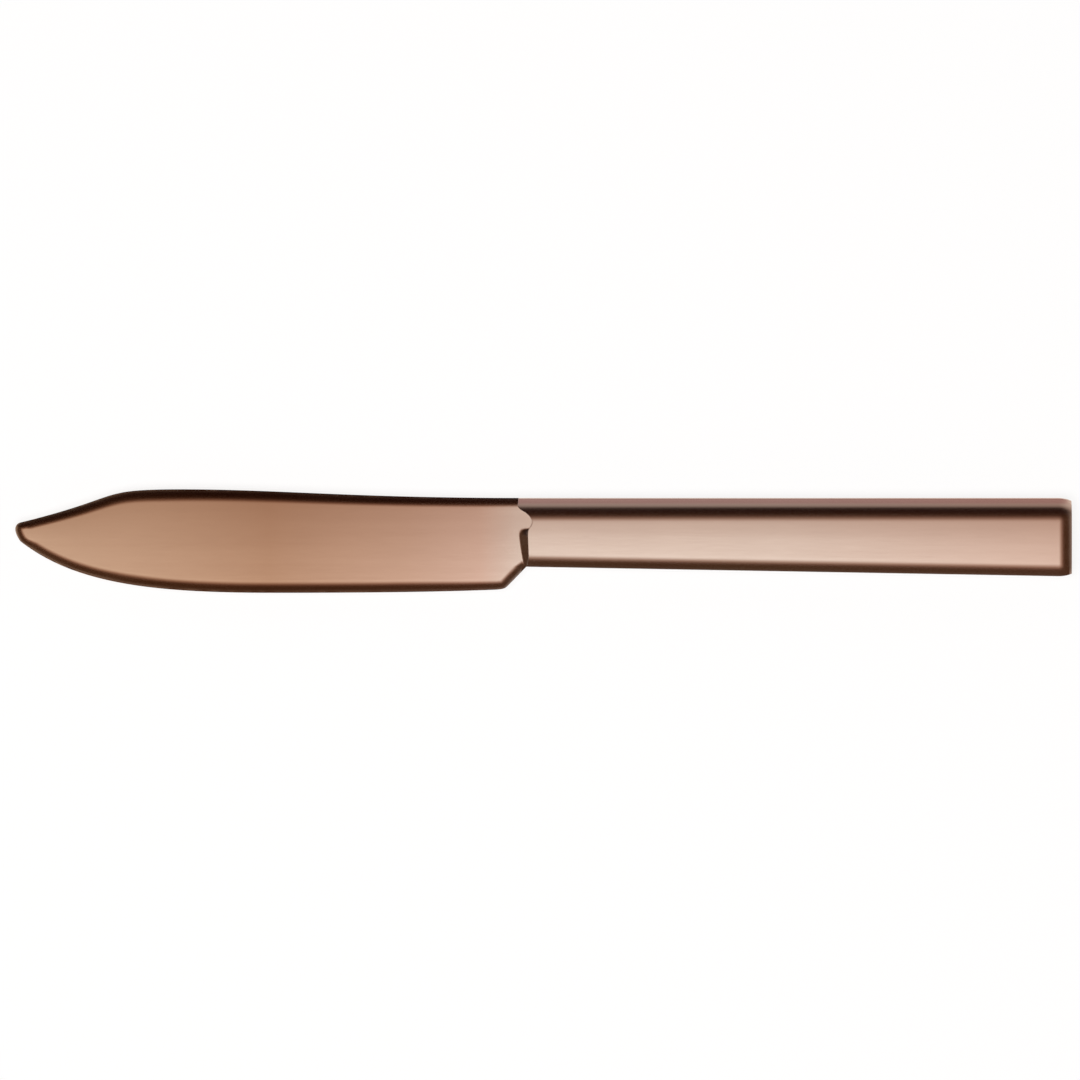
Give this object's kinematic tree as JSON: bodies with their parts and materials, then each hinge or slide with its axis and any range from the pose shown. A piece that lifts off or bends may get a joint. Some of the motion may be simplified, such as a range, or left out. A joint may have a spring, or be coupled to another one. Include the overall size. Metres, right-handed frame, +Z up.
{
  "type": "fish knife",
  "caption": "Fish knife with a broad leaf-shaped blade, a blunt point, a slanted heel and a faceted hollow bar handle, in a satin copper-coloured finish.",
  "frame": {"origin": "under the middle of the knife's bounding box, on the surface that it lies on", "axes": "+X from the point of the blade to the butt of the handle, +Y from the belly to the spine, +Z up through the thickness"},
  "size_m": [0.207, 0.0202, 0.0066],
  "materials": {
    "blade": "satin copper-coloured coat on stainless steel",
    "shell": "satin copper-coloured coat on stainless steel",
    "braze": "brazing metal, dressed flush and coated with the rest",
    "cement": "dull grey cement, sealed inside"
  },
  "bodies": {
    "root": {"blade": "blade", "handle_shell_front": "shell", "handle_shell_back": "shell", "seam_strip": "braze", "cement_core": "cement"}
  },
  "joints": []
}
